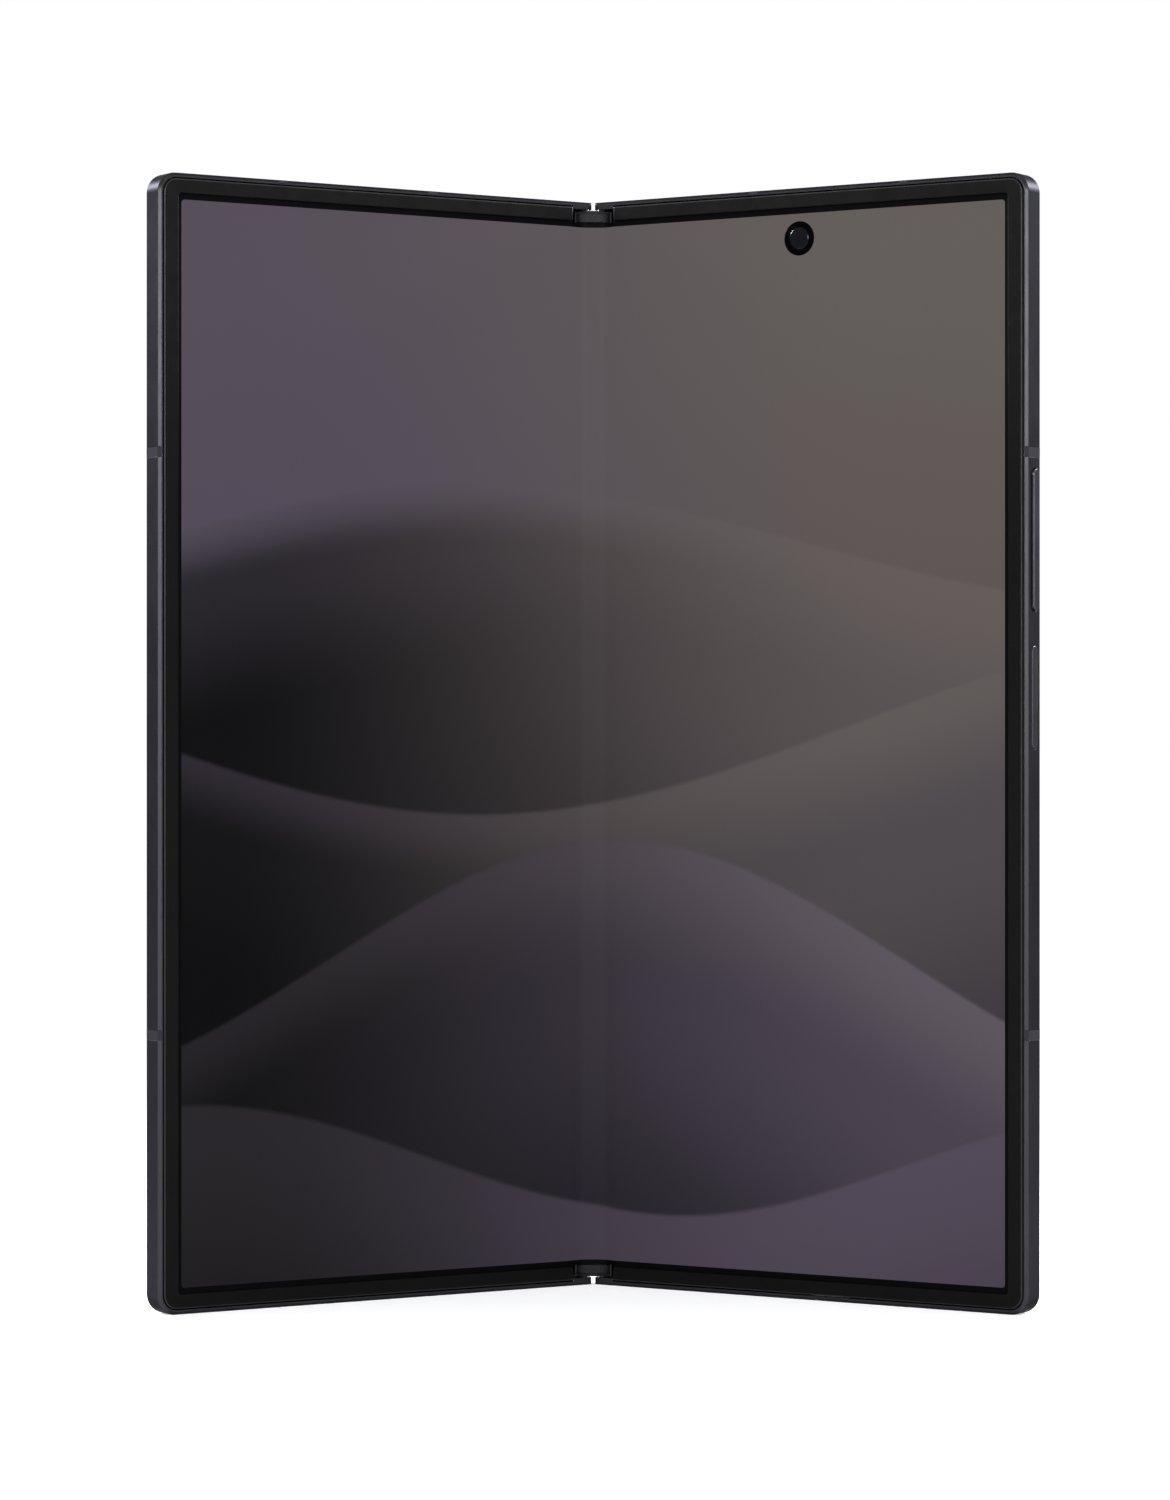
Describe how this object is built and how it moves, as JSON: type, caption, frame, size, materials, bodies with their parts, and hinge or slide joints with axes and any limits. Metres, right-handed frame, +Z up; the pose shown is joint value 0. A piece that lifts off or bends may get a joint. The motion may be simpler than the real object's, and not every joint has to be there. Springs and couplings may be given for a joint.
{
  "type": "foldable smartphone",
  "caption": "Book-style folding phone standing part open, with geared hinge, bending inner screen, sliding keys and card tray.",
  "frame": {"origin": "on the surface it stands on, under the middle of the outer box, in the pose of the picture", "axes": "+Z up along the hinge, -Y towards the viewer who looks into the open screen, +X to that viewer's right"},
  "size_m": [0.124, 0.0418, 0.1584],
  "materials": {
    "frame_metal": "anodised, fine satin, graphite",
    "key_metal": "anodised, satin",
    "antenna_plastic": "moulded, satin",
    "surround_plastic": "moulded, fine satin",
    "inner_display": "soft clear film over a lit panel",
    "screen_backing": "rolled thin sheet",
    "back_glass": "etched satin over a dark coat",
    "cover_glass": "polished over a dark panel",
    "display_panel": "laminated panel",
    "spine_metal": "anodised satin",
    "hinge_steel": "machined",
    "screw_steel": "zinc plated",
    "spring_steel": "tempered wire",
    "magnet_nickel": "nickel plated",
    "island_metal": "anodised, fine blasted",
    "lens_glass": "coated, polished",
    "camera_body": "moulded black",
    "flash_diffuser": "ribbed clear window",
    "battery_foil": "dull foil pouch",
    "board_mask": "solder mask",
    "black_plastic": "moulded",
    "motor_steel": "drawn can",
    "coil_copper": "wound wire",
    "flex_gold": "polyimide strip"
  },
  "bodies": {
    "hinge_spine": {"hinge_spine_cover": "spine_metal", "hinge_end_caps": "spine_metal", "hinge_carriers": "hinge_steel", "hinge_carrier_screws": "screw_steel", "hinge_centre_plate": "hinge_steel", "hinge_torque_springs": "spring_steel", "hinge_spring_rods": "hinge_steel", "wing_pins": "hinge_steel", "idler_shafts": "hinge_steel", "inner_screen_fold": "inner_display"},
    "right_half": {"right_frame": "frame_metal", "right_antenna_bands": "antenna_plastic", "right_screen_surround": "surround_plastic", "right_inner_screen": "inner_display", "right_screen_backing": "screen_backing", "back_glass": "back_glass", "right_pinion_shafts": "hinge_steel", "key_switches": "flex_gold", "inner_camera_window": "cover_glass", "inner_camera_module": "camera_body", "camera_island": "island_metal", "camera_lens_rings": "island_metal", "camera_lens_glasses": "lens_glass", "upper_rear_camera": "camera_body", "middle_rear_camera": "camera_body", "lower_rear_camera": "camera_body", "flash_lens": "flash_diffuser", "right_battery": "battery_foil", "main_board": "board_mask", "main_board_shields": "hinge_steel", "port_board": "board_mask", "charging_socket": "hinge_steel", "charging_socket_tongue": "black_plastic", "lower_speaker": "black_plastic", "charging_coil": "coil_copper", "right_frame_magnets": "magnet_nickel", "right_board_screws": "screw_steel"},
    "left_half": {"left_frame": "frame_metal", "left_antenna_bands": "antenna_plastic", "left_screen_surround": "surround_plastic", "left_inner_screen": "inner_display", "left_screen_backing": "screen_backing", "cover_glass": "cover_glass", "cover_display_panel": "display_panel", "left_pinion_shafts": "hinge_steel", "cover_camera_module": "camera_body", "left_battery": "battery_foil", "left_board": "board_mask", "upper_speaker": "black_plastic", "vibration_motor": "motor_steel", "card_reader": "hinge_steel", "left_frame_magnets": "magnet_nickel", "left_board_screws": "screw_steel"},
    "right_wing": {"right_wing_plate": "hinge_steel"},
    "left_wing": {"left_wing_plate": "hinge_steel"},
    "right_idler": {"right_idler_gears": "hinge_steel"},
    "left_idler": {"left_idler_gears": "hinge_steel"},
    "volume_button": {"volume_key": "key_metal"},
    "side_button": {"side_key": "key_metal"},
    "tray": {"card_tray": "key_metal"}
  },
  "joints": [
    {"name": "right_fold", "type": "hinge", "parent": "hinge_spine", "child": "right_half", "pos_m": [0.0008, 0.01768, 0.0792], "axis": [0, 0, -1], "range_deg": [-32.75, 57.25], "deforming": ["inner_screen_fold"]},
    {"name": "left_fold", "type": "hinge", "parent": "hinge_spine", "child": "left_half", "pos_m": [-0.0008, 0.01768, 0.0792], "axis": [0, 0, 1], "range_deg": [-32.75, 57.25]},
    {"name": "right_idler_turn", "type": "hinge", "parent": "hinge_spine", "child": "right_idler", "pos_m": [0.00038, 0.01821, 0.0792], "axis": [0, 0, 1], "range_deg": [-26.2, 45.8]},
    {"name": "left_idler_turn", "type": "hinge", "parent": "hinge_spine", "child": "left_idler", "pos_m": [-0.00038, 0.01821, 0.0792], "axis": [0, 0, -1], "range_deg": [-26.2, 45.8]},
    {"name": "right_wing_turn", "type": "hinge", "parent": "hinge_spine", "child": "right_wing", "pos_m": [0.0022, 0.01817, 0.0792], "axis": [0, 0, -1], "range_deg": [-32.75, 57.25]},
    {"name": "left_wing_turn", "type": "hinge", "parent": "hinge_spine", "child": "left_wing", "pos_m": [-0.0022, 0.01817, 0.0792], "axis": [0, 0, 1], "range_deg": [-32.75, 57.25]},
    {"name": "volume_press", "type": "slide", "parent": "right_half", "child": "volume_button", "axis": [-0.841, 0.541, 0], "range_m": [0, 0.00025], "stiffness_N_per_m": 400, "springref_m": -0.0005},
    {"name": "side_key_press", "type": "slide", "parent": "right_half", "child": "side_button", "axis": [-0.841, 0.541, 0], "range_m": [0, 0.00025], "stiffness_N_per_m": 400, "springref_m": -0.0005},
    {"name": "tray_slide", "type": "slide", "parent": "left_half", "child": "tray", "axis": [0, 0, -1], "range_m": [0, 0.022]}
  ],
  "couplings": [
    {"joint": "left_fold", "follows": "right_fold", "ratio": 1},
    {"joint": "right_idler_turn", "follows": "right_fold", "ratio": 0.8},
    {"joint": "left_idler_turn", "follows": "right_fold", "ratio": 0.8},
    {"joint": "right_wing_turn", "follows": "right_fold", "ratio": 1},
    {"joint": "left_wing_turn", "follows": "right_fold", "ratio": 1}
  ]
}
